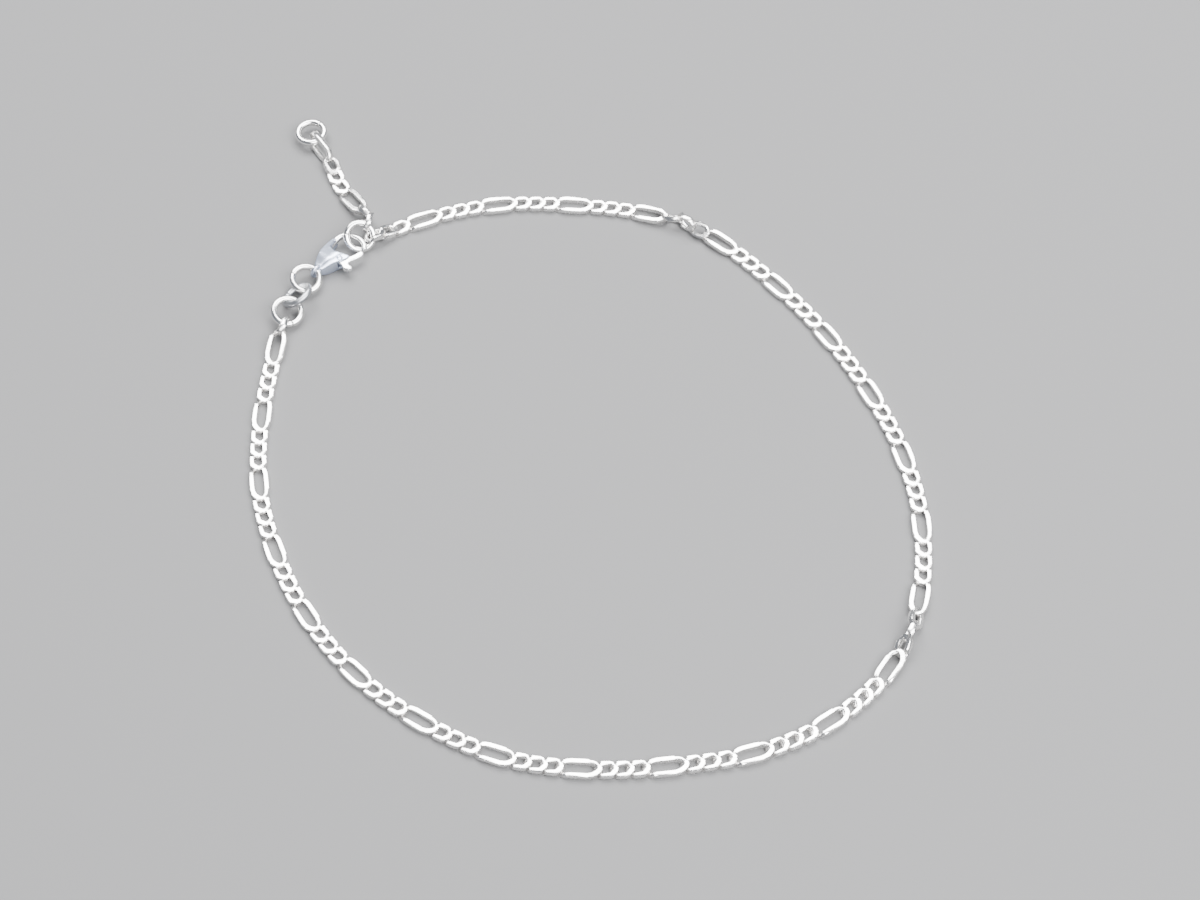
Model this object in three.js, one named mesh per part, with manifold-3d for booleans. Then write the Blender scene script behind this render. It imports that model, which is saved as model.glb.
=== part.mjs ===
// Silver payal anklet: a flattened figaro chain closed by a lobster clasp, with a short
// extension chain, lying on a flat surface.
// Millimetres, +Z up, X to the right and Y away from the viewer. The origin is on the surface,
// under the middle of the whole anklet.
import * as THREE from 'three';
import { mergeVertices } from 'three/addons/utils/BufferGeometryUtils.js';
import Module from 'manifold-3d';

const wasm = await Module();
wasm.setup();

// Chain
const LINK_WIRE = 0.48;          // width of a link's wire, seen from above
const SHORT_PITCH = 1.9;         // length of chain that one short link takes up
const LONG_PITCH = 4.55;         // length of chain that one long link takes up
const LINK_SLACK = 0.13;         // how much longer a link's hole is than its pitch
const LINK_WIDTH = 2.36;         // outer width of every link
const CHAIN_THICKNESS = 1.0;     // between the two faces that are filed flat
const CROSSING_HEIGHT = 1.27;    // height between two crossing wires, in wire widths
const SHORTS_BETWEEN = 3;        // short links between two long ones
const LONG_COUNT = 24;           // long links in the main chain
const LONGS_BEFORE_SEAM = 13;    // long links in the first of the main chain's two nodes
const LINK_BITE = 0.07;          // how far two links that cross upright press into each other
const LINK_PLAY = 0.3;           // free space where a link hooks into a separate piece
const KINK_LIFT = 0.77;          // how far the chain rises where it is twisted half a turn
const KINK_START = 0.36;         // how far the long links beside such a place are lifted
const KINK_SWAY = 0.16;          // how far the chain moves sideways there

// Jump rings
const RING_WIRE = 0.72;
const RING_INSIDE = 2.98;
const RING_PLAY = 0.08;          // free space between the catch ring and the hook above it
// Room that each closing piece takes up along the loop
const CATCH_ROOM = 2.6;
const CLASP_ROOM = 6.55;
const RING_ROOM = 3.1;
const CHAIN_RING_ROOM = 2.8;
const CHAIN_RING_LIFT = 0.45;    // height above the chain's middle where the first link hooks in
const TAIL_ANGLE = 33.7;         // place of the extension on the catch ring, from its right
// How each ring lies: x, y and rise are its distance from where it would rest between its
// neighbours, and it leans, in degrees, about a line with this heading.
const RINGS = {
  chain: { x: 0.1, y: 0.1, rise: 0.43, heading: 40, lean: 16.7 },
  joining: { x: 0.11, y: 0.03, rise: 0.015, heading: 54, lean: -32.7 },
  clasp: { x: 0, y: 0, rise: 0.47, heading: 42, lean: 15.8 },
  catch: { x: -0.15, y: -0.13, rise: 0.06, heading: 24, lean: 35.6 },
  end: { x: -0.23, y: 0.8, rise: 0.89, heading: 0, lean: -0.6 },
};

// Clasp, in its own frame: X from the eye to the tip of the hook, Y towards its back, Z up
const CLASP_THICKNESS = 2.5;
const BODY_LENGTH = 4.5;         // from the middle of the eye to the end of the body
const BODY_WIDTH = 4.5;
const HOOK_REACH = 3.45;         // from the end of the body to the tip of the hook
const HOOK_ANGLE = -2;           // degrees from the clasp's length to where it is pulled
const HOOK_WIRE = 0.88;
const NOSE_WIRE = 0.76;
const EYE_WIRE = 0.46;
const EYE_INSIDE = 1.06;
const LEVER_THICKNESS = 0.8;
const LEVER_PLAY = 0.08;         // free space above and below the lever in its slot
const LEVER_ROOM = (BODY_LENGTH * 17) / 90;    // how far the slot reaches behind the pivot
const PIVOT_X = (BODY_LENGTH * 13) / 18;
const PIVOT_Y = (-BODY_WIDTH * 7) / 30;
const PIN_DIAMETER = 0.6;
const PIN_PLAY = 0.08;
const PIN_INSET = 0.05;          // how far the pin's ends lie below the clasp's faces
const OVERRUN = 1;               // how far a cutting tool reaches past what it cuts

// How the links that hook into a ring or are twisted are turned and lifted
const FIRST_LINK = { roll: 61, lift: 0.77 };
const LAST_LINKS = [{ roll: 0, lift: 0 }, { roll: 7.4, lift: 0.6 }, { roll: 19.9, lift: 0.95 }];
const KINK_ROLLS = { first: -34, middle: -81.7, last: -132.7 };
const TAIL_LINKS = [
  { kind: 'short', roll: -64.5, lift: 1.58, hooked: true },
  { kind: 'short', roll: -111, lift: 0.68, hooked: true },
  { kind: 'long', roll: 0, lift: 0, hooked: false },
  { kind: 'short', roll: 0, lift: 0, hooked: false },
  { kind: 'short', roll: 0, lift: 0, hooked: false },
  { kind: 'short', roll: 9.9, lift: 0.69, hooked: true },
  { kind: 'long', roll: -62, lift: 0.79, hooked: true },
];

// Facets
const END_SIDES = 4;             // sides of each round end of a link
const WIRE_SIDES = 5;
const RING_SIDES = 16;
const RING_WIRE_SIDES = 6;
const HOOK_SIDES = 8;
const ROUND_SIDES = 12;
const OUTLINE_SIDES = 28;
const HOOK_STEPS = 18;
const ARC_DIVISIONS = 3000;      // steps for measuring the length of a route
const MERGE_DISTANCE = 1e-5;

// Route of the closed loop, as the anklet lies: the chain from the chain ring round to the
// catch ring, then back along the clasp and the jump rings.
const LOOP_ROUTE = [
  [-40.4, 27.6], [-41.5, 23.0], [-43.1, 12.7], [-43.1, 2.3], [-40.7, -7.6], [-36.5, -16.8],
  [-30.3, -25.1], [-22.4, -31.7], [-13.4, -36.5], [-3.3, -38.6], [7.1, -38.7], [17.3, -37.4],
  [26.7, -33.2], [34.1, -26.0], [37.6, -17.6], [38.8, -7.5], [37.5, 2.7], [34.1, 12.4],
  [29.3, 21.7], [23.3, 30.1], [16.2, 37.5], [8.2, 41.9], [-1.9, 44.2], [-12.1, 45.0],
  [-22.1, 43.2], [-28.5, 40.6], [-30.9, 39.5], [-36.0, 35.3], [-38.1, 33.0], [-39.5, 30.2],
];
// Route of the extension, from the catch ring's upper arc to the end ring
const TAIL_ROUTE = [
  [-29.4, 41.4], [-29.0, 43.3], [-30.8, 46.1], [-32.9, 49.5], [-33.8, 51.5], [-34.2, 53.5],
  [-35.3, 55.4], [-36.9, 58.2],
];

const rad = THREE.MathUtils.degToRad;
const UP = new THREE.Vector3(0, 0, 1);
const ringRadius = (RING_INSIDE + RING_WIRE) / 2;
const chainMiddle = CHAIN_THICKNESS / 2;

// Turns a closed mesh into a solid for joining and cutting.
function solid(geometry, matrix = new THREE.Matrix4()) {
  const bare = geometry.clone().applyMatrix4(matrix);
  for (const name of ['normal', 'uv']) {
    if (bare.getAttribute(name)) bare.deleteAttribute(name);
  }
  const merged = mergeVertices(bare, MERGE_DISTANCE);
  return new wasm.Manifold(new wasm.Mesh({
    numProp: 3,
    vertProperties: new Float32Array(merged.getAttribute('position').array),
    triVerts: new Uint32Array(merged.index.array),
  }));
}

// Turns a solid back into a mesh's geometry.
function geometryOf(body) {
  const { vertProperties, triVerts } = body.getMesh();
  const geometry = new THREE.BufferGeometry();
  geometry.setAttribute('position', new THREE.Float32BufferAttribute(vertProperties, 3));
  geometry.setIndex(new THREE.Uint32BufferAttribute(triVerts, 1));
  geometry.computeVertexNormals();
  return geometry;
}

// Triangles that fill a flat ring of points, turned the way that the ring runs.
function capTriangles(ring) {
  const middle = ring.reduce((sum, point) => sum.add(point), new THREE.Vector3())
    .divideScalar(ring.length);
  const x = ring[0].clone().sub(middle).normalize();
  const normal = new THREE.Vector3();
  ring.forEach((point, k) => {
    const next = ring[(k + 1) % ring.length];
    normal.add(point.clone().sub(middle).cross(next.clone().sub(middle)));
  });
  const y = normal.normalize().cross(x);
  const flat = ring.map((point) => {
    const arm = point.clone().sub(middle);
    return new THREE.Vector2(arm.dot(x), arm.dot(y));
  });
  return THREE.ShapeUtils.triangulateShape(flat, []);
}

// A skin over rings of points that all have as many points. A closed row joins its last ring to
// its first, an open one gets a flat cap at each end, laid out as its first ring is.
function skin(rings, closed) {
  const sides = rings[0].length;
  const positions = rings.flat().flatMap((point) => point.toArray());
  const triangles = [];
  const last = closed ? rings.length : rings.length - 1;
  for (let i = 0; i < last; i += 1) {
    const here = i * sides;
    const next = ((i + 1) % rings.length) * sides;
    for (let k = 0; k < sides; k += 1) {
      const side = (k + 1) % sides;
      triangles.push(here + k, next + k, next + side, here + k, next + side, here + side);
    }
  }
  if (!closed) {
    const end = (rings.length - 1) * sides;
    for (const [a, b, c] of capTriangles(rings[0])) {
      triangles.push(a, b, c, end + a, end + c, end + b);
    }
  }
  const geometry = new THREE.BufferGeometry();
  geometry.setAttribute('position', new THREE.Float32BufferAttribute(positions, 3));
  geometry.setIndex(triangles);
  return geometry;
}

// The round section of a wire: outward and upward are its two half axes.
function section(centre, outward, upward, sides) {
  const points = [];
  for (let k = 0; k < sides; k += 1) {
    const angle = (2 * Math.PI * k) / sides;
    points.push(centre.clone()
      .addScaledVector(outward, Math.cos(angle))
      .addScaledVector(upward, Math.sin(angle)));
  }
  return points;
}

// One link along X: an oval whose two ends are turned opposite ways, so that it passes over the
// next link on one side and under it on the other, with both faces filed flat.
function linkGeometry(pitch) {
  const half = (LINK_WIDTH - LINK_WIRE) / 2;
  const reach = (pitch + LINK_SLACK + LINK_WIRE) / 2;
  const wireRadius = LINK_WIRE / (1 + Math.cos(Math.PI / WIRE_SIDES));
  const crossing = Math.sqrt(half ** 2 - (pitch / 2 - reach + half) ** 2);
  const crossingTurn = Math.asin((CROSSING_HEIGHT * wireRadius) / crossing);
  const limit = CHAIN_THICKNESS / 2;
  const rings = [];
  for (const end of [1, -1]) {
    for (let k = 0; k <= END_SIDES; k += 1) {
      const angle = -Math.PI / 2 + (Math.PI * k) / END_SIDES;
      const outward = new THREE.Vector3(Math.cos(angle) * end, Math.sin(angle) * end, 0);
      const centre = new THREE.Vector3(end * (reach - half), 0, 0).addScaledVector(outward, half);
      const ring = section(centre, outward.multiplyScalar(wireRadius),
        UP.clone().multiplyScalar(wireRadius), WIRE_SIDES);
      for (const point of ring) {
        point.applyAxisAngle(new THREE.Vector3(1, 0, 0), crossingTurn * (point.x / (pitch / 2)));
        point.z = THREE.MathUtils.clamp(point.z, -limit, limit);
      }
      rings.push(ring);
    }
  }
  return skin(rings, true);
}
const LINKS = { short: linkGeometry(SHORT_PITCH), long: linkGeometry(LONG_PITCH) };

// Rows of what lies along a route. Inside is the length of the piece's hole; give is how far the
// hole's end stands back from the place where the next piece touches it, which lies lift above
// the chain's middle and sway to its side. Roll turns the piece about its length.
function row(kind, inside, changes) {
  return { kind, inside, give: LINK_SLACK / 2, roll: 0, lift: 0, sway: 0, ...changes };
}
const short = (changes) => row('short', SHORT_PITCH + LINK_SLACK, changes);
const long = (changes) => row('long', LONG_PITCH + LINK_SLACK, changes);
const HOOKED = -LINK_BITE / 2;
const LOOSE = LINK_PLAY / 2;

// Three short links that carry the chain through half a turn.
function kink(middleGive) {
  return [
    short({ roll: KINK_ROLLS.first, lift: KINK_LIFT, sway: KINK_SWAY, give: HOOKED }),
    short({ roll: KINK_ROLLS.middle, lift: KINK_LIFT, sway: -KINK_SWAY, give: middleGive }),
    short({ roll: KINK_ROLLS.last, lift: KINK_START, give: HOOKED }),
  ];
}

// The main chain from the chain ring to the catch ring, as its two nodes. The seam lies in one
// of the two places where the chain is twisted, the other is after KINK_AFTER long links.
const KINK_AFTER = 20;
const firstHalf = [short({ ...FIRST_LINK, give: HOOKED })];
const secondHalf = [];
for (let i = 1; i <= LONG_COUNT; i += 1) {
  const half = i <= LONGS_BEFORE_SEAM ? firstHalf : secondHalf;
  const atSeam = i === LONGS_BEFORE_SEAM;
  const twisted = atSeam || i === KINK_AFTER;
  half.push(long(twisted ? { lift: KINK_START, give: HOOKED } : {}));
  if (i === LONG_COUNT) break;
  if (!twisted) {
    for (let k = 0; k < SHORTS_BETWEEN; k += 1) half.push(short());
  } else {
    const links = kink(atSeam ? LOOSE : HOOKED);
    half.push(...links.slice(0, 2));
    (atSeam ? secondHalf : half).push(links[2]);
  }
}
secondHalf.push(...LAST_LINKS.map((link) => short(link)));
secondHalf.at(-1).give = LOOSE;

// Lays rows along a route and returns, for each, its two ends, the middle of its hole and its
// frame. The route is scaled so that the rows just fill it.
function layAlong(route, rows, closed, start, anchor = new THREE.Vector3()) {
  const first = closed ? anchor : new THREE.Vector3(...route[0], 0);
  const points = route.map(([x, y]) => new THREE.Vector3(x, y, 0).sub(first));
  const curve = new THREE.CatmullRomCurve3(points, closed, 'centripetal');
  curve.arcLengthDivisions = ARC_DIVISIONS;
  const advances = rows.map((item, i) => {
    const before = rows[i - 1] ?? start;
    const span = item.inside - before.give - item.give;
    return Math.sqrt(span ** 2 - (item.lift - before.lift) ** 2 - (item.sway - before.sway) ** 2);
  });
  const total = advances.reduce((sum, advance) => sum + advance, 0);
  const scale = total / curve.getLength();
  const placeAt = (along, { lift, sway }) => {
    const share = Math.min(along / total, 1);
    const side = new THREE.Vector3().crossVectors(UP, curve.getTangentAt(share));
    return curve.getPointAt(share).multiplyScalar(scale).add(anchor)
      .addScaledVector(side, sway).setZ(chainMiddle + lift);
  };
  let along = 0;
  let from = placeAt(0, start);
  return rows.map((item, i) => {
    along += advances[i];
    const to = placeAt(along, item);
    const x = to.clone().sub(from).normalize();
    const middle = from.clone().addScaledVector(x, item.inside / 2 - (rows[i - 1] ?? start).give);
    const y = new THREE.Vector3().crossVectors(UP, x).normalize();
    const z = new THREE.Vector3().crossVectors(x, y);
    const frame = new THREE.Matrix4().makeBasis(x, y, z)
      .multiply(new THREE.Matrix4().makeRotationX(rad(item.roll))).setPosition(middle);
    const laid = { ...item, from, to, middle, frame };
    from = to;
    return laid;
  });
}

// The pieces that close the loop: their rows only keep the room that each one takes.
const closing = [
  row('catchRing', CATCH_ROOM, { give: 0 }),
  row('clasp', CLASP_ROOM, { give: 0 }),
  row('claspRing', RING_ROOM, { give: 0 }),
  row('joiningRing', RING_ROOM, { give: 0 }),
  row('chainRing', CHAIN_RING_ROOM, { give: LOOSE, lift: CHAIN_RING_LIFT }),
];
const laid = layAlong(LOOP_ROUTE, [...firstHalf, ...secondHalf, ...closing], true, closing.at(-1));
const place = Object.fromEntries(laid.slice(-closing.length).map((item) => [item.kind, item]));

function fusedLinks(items) {
  return geometryOf(items.map((item) => solid(LINKS[item.kind], item.frame))
    .reduce((joined, link) => joined.add(link)));
}

// Where a ring's middle lies: height is that of its lowest point when the ring has no rise.
function ringMiddle(base, { x, y, rise, lean }) {
  const height = RING_WIRE / 2 + ringRadius * Math.sin(rad(Math.abs(lean)));
  return new THREE.Vector3(base.x + x, base.y + y, height + rise);
}
// A ring's frame: X is the line that it leans about.
function ringFrame(middle, { heading, lean }) {
  return new THREE.Matrix4().makeRotationZ(rad(heading))
    .multiply(new THREE.Matrix4().makeRotationX(rad(lean))).setPosition(middle);
}
const jumpRing = (frame) => new THREE.TorusGeometry(ringRadius, RING_WIRE / 2, RING_WIRE_SIDES,
  RING_SIDES).applyMatrix4(frame);

// Clasp. Its frame stands on the eye and points at the place where the catch ring hooks in.
const hookMiddle = RING_WIRE + RING_PLAY + HOOK_WIRE / 2;
const eye = place.clasp.to.clone().setZ(0);
const claspAngle = Math.atan2(place.clasp.from.y - eye.y, place.clasp.from.x - eye.x)
  - rad(HOOK_ANGLE);
const claspFrame = new THREE.Matrix4().makeRotationZ(claspAngle).setPosition(eye);
const claspPoint = (x, y, z) => new THREE.Vector3(x, y, z).applyMatrix4(claspFrame);

// Outline of the body: x as a share of BODY_LENGTH, y as a share of BODY_WIDTH
const BODY_OUTLINE = [
  { x: 0.14, y: -0.08 }, { x: 0.28, y: -0.21 }, { x: 0.5, y: -0.33 }, { x: 0.75, y: -0.42 },
  { x: 0.93, y: -0.45 }, { x: 0.97, y: -0.36 }, { x: 0.87, y: -0.2 }, { x: 0.81, y: -0.02 },
  { x: 0.82, y: 0.15 }, { x: 0.89, y: 0.28 }, { x: 0.99, y: 0.36 }, { x: 0.99, y: 0.5 },
  { x: 0.8, y: 0.51 }, { x: 0.58, y: 0.46 }, { x: 0.38, y: 0.37 }, { x: 0.21, y: 0.24 },
  { x: 0.14, y: 0.12 },
];
// Middle line of the hook: x from the end of the body as a share of HOOK_REACH, y as above
const HOOK_LINE = [
  { x: -0.2, y: 0.38 }, { x: 0.1, y: 0.43 }, { x: 0.38, y: 0.44 }, { x: 0.6, y: 0.37 },
  { x: 0.8, y: 0.16 }, { x: 0.87, y: -0.07 }, { x: 0.78, y: -0.31 }, { x: 0.6, y: -0.44 },
];
// Outline of the lever round its pivot: x as a share of BODY_LENGTH, y as above
const LEVER_OUTLINE = [
  { x: -0.12, y: 0.0 }, { x: -0.1, y: -0.13 }, { x: -0.14, y: -0.3 }, { x: 0.0, y: -0.45 },
  { x: 0.07, y: -0.44 }, { x: 0.08, y: -0.3 }, { x: 0.13, y: -0.24 }, { x: 0.35, y: -0.31 },
  { x: 0.6, y: -0.325 }, { x: 0.7, y: -0.31 }, { x: 0.74, y: -0.18 }, { x: 0.6, y: -0.17 },
  { x: 0.42, y: -0.15 }, { x: 0.24, y: -0.08 }, { x: 0.11, y: 0.07 }, { x: 0.0, y: 0.12 },
  { x: -0.09, y: 0.09 },
];

// Levels of a plate with rounded edges: height as a share of its thickness, and size as a share
// of its outline
const BODY_LEVELS = [
  { height: 0, size: 0.86 }, { height: 0.14, size: 0.96 }, { height: 0.4, size: 1 },
  { height: 0.66, size: 0.97 }, { height: 0.86, size: 0.88 }, { height: 1, size: 0.66 },
];
const LEVER_LEVELS = [
  { height: 0, size: 0.95 }, { height: 0.2, size: 1 }, { height: 0.8, size: 1 },
  { height: 1, size: 0.95 },
];

// A plate between two heights whose levels shrink towards the middle of its outline.
function plate(rows, levels, bottom, thickness) {
  const points = rows.map(({ x, y }) => new THREE.Vector3(x * BODY_LENGTH, y * BODY_WIDTH, 0));
  const curve = new THREE.CatmullRomCurve3(points, true, 'centripetal');
  const outline = curve.getSpacedPoints(OUTLINE_SIDES).slice(0, -1);
  const middle = outline.reduce((sum, point) => sum.add(point), new THREE.Vector3())
    .divideScalar(OUTLINE_SIDES);
  const rings = levels.map(({ height, size }) => outline.map((point) => middle.clone()
    .lerp(point, size).setZ(bottom + height * thickness)));
  return skin(rings.reverse(), false);
}

function hookBar() {
  const points = HOOK_LINE.map(({ x, y }) => new THREE.Vector3(
    BODY_LENGTH + x * HOOK_REACH, y * BODY_WIDTH, hookMiddle));
  const curve = new THREE.CatmullRomCurve3(points, false, 'centripetal');
  const rings = [];
  for (let i = 0; i <= HOOK_STEPS; i += 1) {
    const share = i / HOOK_STEPS;
    const radius = THREE.MathUtils.lerp(HOOK_WIRE, NOSE_WIRE, share) / 2;
    const outward = new THREE.Vector3().crossVectors(curve.getTangentAt(share), UP);
    rings.push(section(curve.getPointAt(share), outward.multiplyScalar(radius),
      UP.clone().multiplyScalar(radius), HOOK_SIDES));
  }
  return skin(rings, false);
}

function roundBar(diameter, bottom, top) {
  return new THREE.CylinderGeometry(diameter / 2, diameter / 2, top - bottom, ROUND_SIDES)
    .rotateX(Math.PI / 2).translate(PIVOT_X, PIVOT_Y, (top + bottom) / 2);
}

function claspBody() {
  const body = solid(plate(BODY_OUTLINE, BODY_LEVELS, 0, CLASP_THICKNESS));
  const eyeRing = new THREE.TorusGeometry((EYE_INSIDE + EYE_WIRE) / 2, EYE_WIRE / 2,
    RING_WIRE_SIDES, RING_SIDES).rotateX(Math.PI / 2).translate(0, 0, CLASP_THICKNESS / 2);
  const slotHeight = LEVER_THICKNESS + 2 * LEVER_PLAY;
  const slot = new THREE.BoxGeometry(BODY_LENGTH, BODY_WIDTH, slotHeight)
    .translate(PIVOT_X - LEVER_ROOM + BODY_LENGTH / 2, PIVOT_Y + LEVER_ROOM - BODY_WIDTH / 2,
      hookMiddle);
  const bore = roundBar(PIN_DIAMETER + 2 * PIN_PLAY, -OVERRUN, CLASP_THICKNESS + OVERRUN);
  return geometryOf(body.add(solid(hookBar())).add(solid(eyeRing))
    .subtract(solid(slot)).subtract(solid(bore)));
}

function claspLever() {
  const lever = plate(LEVER_OUTLINE, LEVER_LEVELS, hookMiddle - LEVER_THICKNESS / 2,
    LEVER_THICKNESS).translate(PIVOT_X, PIVOT_Y, 0);
  const bore = roundBar(PIN_DIAMETER + 2 * PIN_PLAY, -OVERRUN, CLASP_THICKNESS + OVERRUN);
  return geometryOf(solid(lever).subtract(solid(bore)));
}

// The rings round the clasp
const ringFrames = {};
const claspReach = claspPoint(-ringRadius, 0, 0);
const chainSide = place.chainRing.middle;
const catchPoint = claspPoint(BODY_LENGTH + HOOK_REACH, 0, 0);
ringFrames.chain = ringFrame(ringMiddle(chainSide, RINGS.chain), RINGS.chain);
ringFrames.clasp = ringFrame(ringMiddle(claspReach, RINGS.clasp), RINGS.clasp);
ringFrames.joining = ringFrame(
  ringMiddle(claspReach.clone().add(chainSide).divideScalar(2), RINGS.joining), RINGS.joining);
ringFrames.catch = ringFrame(ringMiddle(catchPoint, RINGS.catch), RINGS.catch);

// The extension, hanging from the catch ring's upper arc
const tailRows = TAIL_LINKS.map(({ kind, hooked, ...lay }) => (kind === 'short' ? short : long)(
  hooked ? { ...lay, give: HOOKED } : lay));
tailRows.at(-1).give = LOOSE;
const tailHook = new THREE.Vector3(ringRadius - RING_WIRE / 2, 0, 0)
  .applyMatrix4(new THREE.Matrix4().makeRotationZ(rad(TAIL_ANGLE))).applyMatrix4(ringFrames.catch);
const tailStart = row('start', 0, { give: LOOSE, lift: tailHook.z - chainMiddle });
const tail = layAlong(TAIL_ROUTE, tailRows, false, tailStart, tailHook.clone().setZ(0));
ringFrames.end = ringFrame(ringMiddle(tail.at(-1).to, RINGS.end), RINGS.end);

const CHAIN_SILVER = 0xe6e7e9;
const GREY_SILVER = 0xb9bcc0;
const SATIN_SILVER = 0xc9ccd6;
const finish = { roughness: 0.2, metalness: 1 };
const group = new THREE.Group();
function addPiece(name, color, geometry) {
  const mesh = new THREE.Mesh(geometry, new THREE.MeshStandardMaterial({ color, ...finish }));
  mesh.name = name;
  group.add(mesh);
}
addPiece('main_chain_a', CHAIN_SILVER, fusedLinks(laid.slice(0, firstHalf.length)));
addPiece('main_chain_b', CHAIN_SILVER, fusedLinks(laid.slice(firstHalf.length, -closing.length)));
addPiece('extension_chain', CHAIN_SILVER, fusedLinks(tail));
for (const [name, frame] of Object.entries(ringFrames)) {
  addPiece(`${name}_ring`, name === 'joining' ? GREY_SILVER : CHAIN_SILVER, jumpRing(frame));
}
addPiece('clasp_body', SATIN_SILVER, claspBody().applyMatrix4(claspFrame));
addPiece('clasp_lever', SATIN_SILVER, claspLever().applyMatrix4(claspFrame));
addPiece('clasp_pin', GREY_SILVER,
  roundBar(PIN_DIAMETER, PIN_INSET, CLASP_THICKNESS - PIN_INSET).applyMatrix4(claspFrame));

// The lowest point lies on the surface, and the middle of the whole anklet over the origin.
const box = new THREE.Box3().setFromObject(group, true);
const centre = box.getCenter(new THREE.Vector3());
for (const mesh of group.children) mesh.geometry.translate(-centre.x, -centre.y, -box.min.z);

export default group;
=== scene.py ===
# Payal anklet of silver figaro chain with a lobster clasp: the finished looks over the CAD frame.
# Metres, +Z up. Drawing sizes below are in millimetres and become metres with MM.
import math

import bmesh
import bpy
import numpy as np
from mathutils import Matrix, Vector


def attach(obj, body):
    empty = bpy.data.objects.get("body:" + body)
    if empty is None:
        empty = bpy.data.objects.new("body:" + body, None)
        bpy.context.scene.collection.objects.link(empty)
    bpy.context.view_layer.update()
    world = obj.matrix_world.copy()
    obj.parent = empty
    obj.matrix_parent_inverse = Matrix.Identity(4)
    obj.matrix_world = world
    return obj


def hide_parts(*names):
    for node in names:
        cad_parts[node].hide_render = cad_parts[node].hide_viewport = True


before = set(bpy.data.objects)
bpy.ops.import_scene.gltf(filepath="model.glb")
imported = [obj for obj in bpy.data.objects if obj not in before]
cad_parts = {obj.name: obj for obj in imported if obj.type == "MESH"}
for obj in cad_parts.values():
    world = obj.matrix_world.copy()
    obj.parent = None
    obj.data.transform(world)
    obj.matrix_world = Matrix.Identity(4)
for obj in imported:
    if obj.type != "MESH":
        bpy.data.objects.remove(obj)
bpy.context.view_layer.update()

MM = 0.001
TURN = 2 * math.pi

# Where the origin lies on the drawing that the routes below are read from
DRAWING_ORIGIN = Vector((-2.3266, 10.4452, -0.0079))

# Chain, as it is laid out
SHORT_PITCH = 1.9
LONG_PITCH = 4.55
LINK_SLACK = 0.13
CHAIN_THICKNESS = 1.0
SHORTS_BETWEEN = 3
LONG_COUNT = 24
LONGS_BEFORE_SEAM = 13
KINK_AFTER = 20
LINK_BITE = 0.07
LINK_PLAY = 0.3
KINK_LIFT = 0.77
KINK_START = 0.36
KINK_SWAY = 0.16
ROUTE_STEPS = 3000
ROUTE_NUDGE = 0.05

# One link. A range tells where along half the pitch a change begins and ends. The recess
# depths are shares of half the chain's thickness, and the crease is in radians
LINK_WIRE = 0.66
LINK_WIRE_HEIGHT = 1.2
SHORT_WIDTH = 2.24
LONG_WIDTH = 2.5
MEAN_WIDTH = 2.36
CROSSING_OFFSET = 0.26
SIDE_BOW = 0.3
END_GROWTH = 0.7
GROWTH_RANGE = (0.45, 1.15)
END_DROP = 0.5
DROP_RANGE = (0.7, 1.05)
SHORT_TWIST_POWER = 1.5
LONG_TWIST_POWER = 3.0
TWIST_LIMIT = 1.2
FILED_THICKNESS = 0.8
FILED_DROP = 0.1
FILED_EDGE = 0.1
RECESS_RANGE = (0.55, 1.0)
RECESS_DEPTH = (0.3, 0.9)
LINK_CREASE = 0.5
LINK_STEPS = 30
LINK_SIDES = 16

# Jump rings
RING_WIRE = 0.72
RING_INSIDE = 2.98
RING_RADIUS = (RING_WIRE + RING_INSIDE) / 2
DRESSED_RING_RADIUS = RING_RADIUS - 0.05
DRESSED_RING_WIRE = RING_WIRE + 0.14
SEAM_WIDTH = 0.09
SEAM_DEPTH = 0.22
RING_CREASE = 0.9
RING_STEPS = 160
RING_SIDES = 20
TAIL_ANGLE = 33.7
CATCH_ROOM = 2.6
CLASP_ROOM = 6.55
RING_ROOM = 3.1
CHAIN_RING_ROOM = 2.8
CHAIN_RING_LIFT = 0.45
# A ring is moved by x, y and rise from where it would lie; heading, lean and seam are degrees
RINGS = {
    "chain": {"x": 0.1, "y": 0.1, "rise": 0.43, "heading": 40, "lean": 16.7, "seam": 250},
    "joining": {"x": 0.11, "y": 0.03, "rise": 0.015, "heading": 54, "lean": -32.7, "seam": 95},
    "clasp": {"x": 0, "y": 0, "rise": 0.47, "heading": 42, "lean": 15.8, "seam": 118},
    "catch": {"x": -0.15, "y": -0.13, "rise": 0.06, "heading": 24, "lean": 35.6, "seam": 150},
    "end": {"x": -0.23, "y": 0.8, "rise": 0.89, "heading": 0, "lean": -0.6, "seam": 48},
}

# Clasp, in its own frame: X from the eye to the tip of the hook, Y towards its back, Z up
CLASP_THICKNESS = 2.5
BODY_LENGTH = 4.5
HOOK_REACH = 3.45
HOOK_ANGLE = -2
HOOK_WIRE = 0.88
NOSE_WIRE = 0.68
EYE_WIRE = 0.46
EYE_INSIDE = 1.06
EYE_STEPS = 72
EYE_SEAM_WIDTH = 0.05
HOOK_MIDDLE = 1.24
LEVER_THICKNESS = 0.8
LEVER_PLAY = 0.08
PIVOT = (3.25, -1.05)
SLOT_BEHIND_PIVOT = 0.68
SLOT_BESIDE_PIVOT = 0.85
PIN_DIAMETER = 0.6
PIN_SIDES = 32
PIN_CHAMFER = 0.05
PIN_END_SHARE = 0.8
PIN_FOOT = 0.06
PIN_SUNK = 0.015
PIN_CROWN = 0.01
BODY_BORE_PLAY = 0.06
LEVER_BORE_PLAY = 0.1
OUTLINE_STEPS = 1200
OUTLINE_POINTS = 132
LINE_STEPS = 400
BAR_STEPS = 72
BAR_SIDES = 24
BAR_NUDGE = 0.02

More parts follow.
